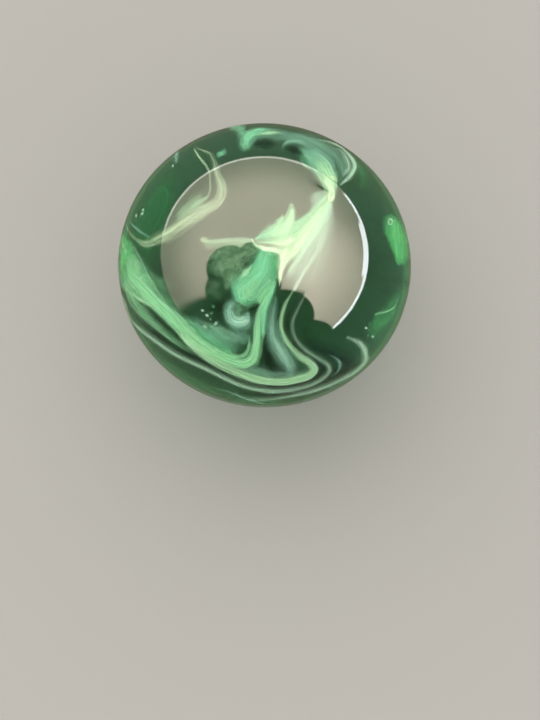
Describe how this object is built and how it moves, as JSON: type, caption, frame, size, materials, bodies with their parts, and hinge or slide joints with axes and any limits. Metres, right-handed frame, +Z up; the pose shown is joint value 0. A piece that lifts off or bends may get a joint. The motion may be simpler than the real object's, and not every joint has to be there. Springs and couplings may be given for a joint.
{
  "type": "glass marble",
  "caption": "Solid glass ball, slightly longer than wide, clear green with pale swirls and a few seed bubbles.",
  "frame": {"origin": "centre of the ball", "axes": "+X along the ball's longest diameter, +Z up from the point it rests on"},
  "size_m": [0.0162, 0.0158, 0.0158],
  "materials": {
    "green_glass": "fire-polished clear green glass with milky pale green swirls inside"
  },
  "bodies": {
    "root": {"marble": "green_glass"}
  },
  "joints": []
}
